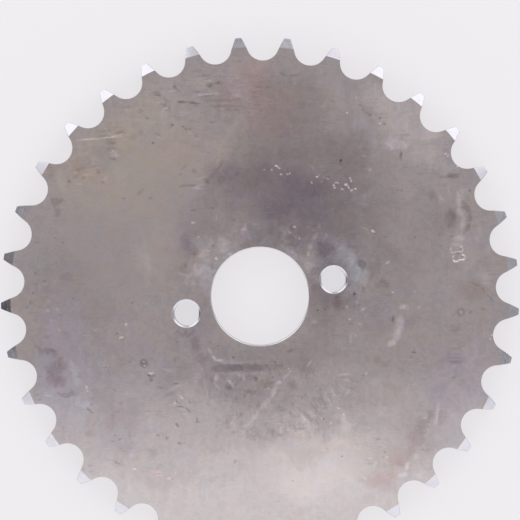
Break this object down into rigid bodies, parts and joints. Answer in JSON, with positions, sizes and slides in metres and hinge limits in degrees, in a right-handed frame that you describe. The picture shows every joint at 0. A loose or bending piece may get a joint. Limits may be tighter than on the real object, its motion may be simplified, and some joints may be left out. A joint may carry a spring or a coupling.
{
  "type": "chain sprocket",
  "caption": "Flat plate sprocket for a roller chain, with relieved teeth, a plain round bore and bolt holes beside it.",
  "frame": {"origin": "centre of the bore, midway through the plate's thickness, where the chain runs", "axes": "+Z along the bore's axis, out of the face that carries the stamped tooth count; +X through the bolt holes' centres and the middle of a tooth gap"},
  "size_m": [0.1374, 0.1376, 0.0072],
  "materials": {
    "plate_steel": "cold-rolled plate, satin, faintly stained and scratched, with bright machined tooth reliefs"
  },
  "bodies": {
    "root": {"sprocket_plate": "plate_steel"}
  },
  "joints": []
}
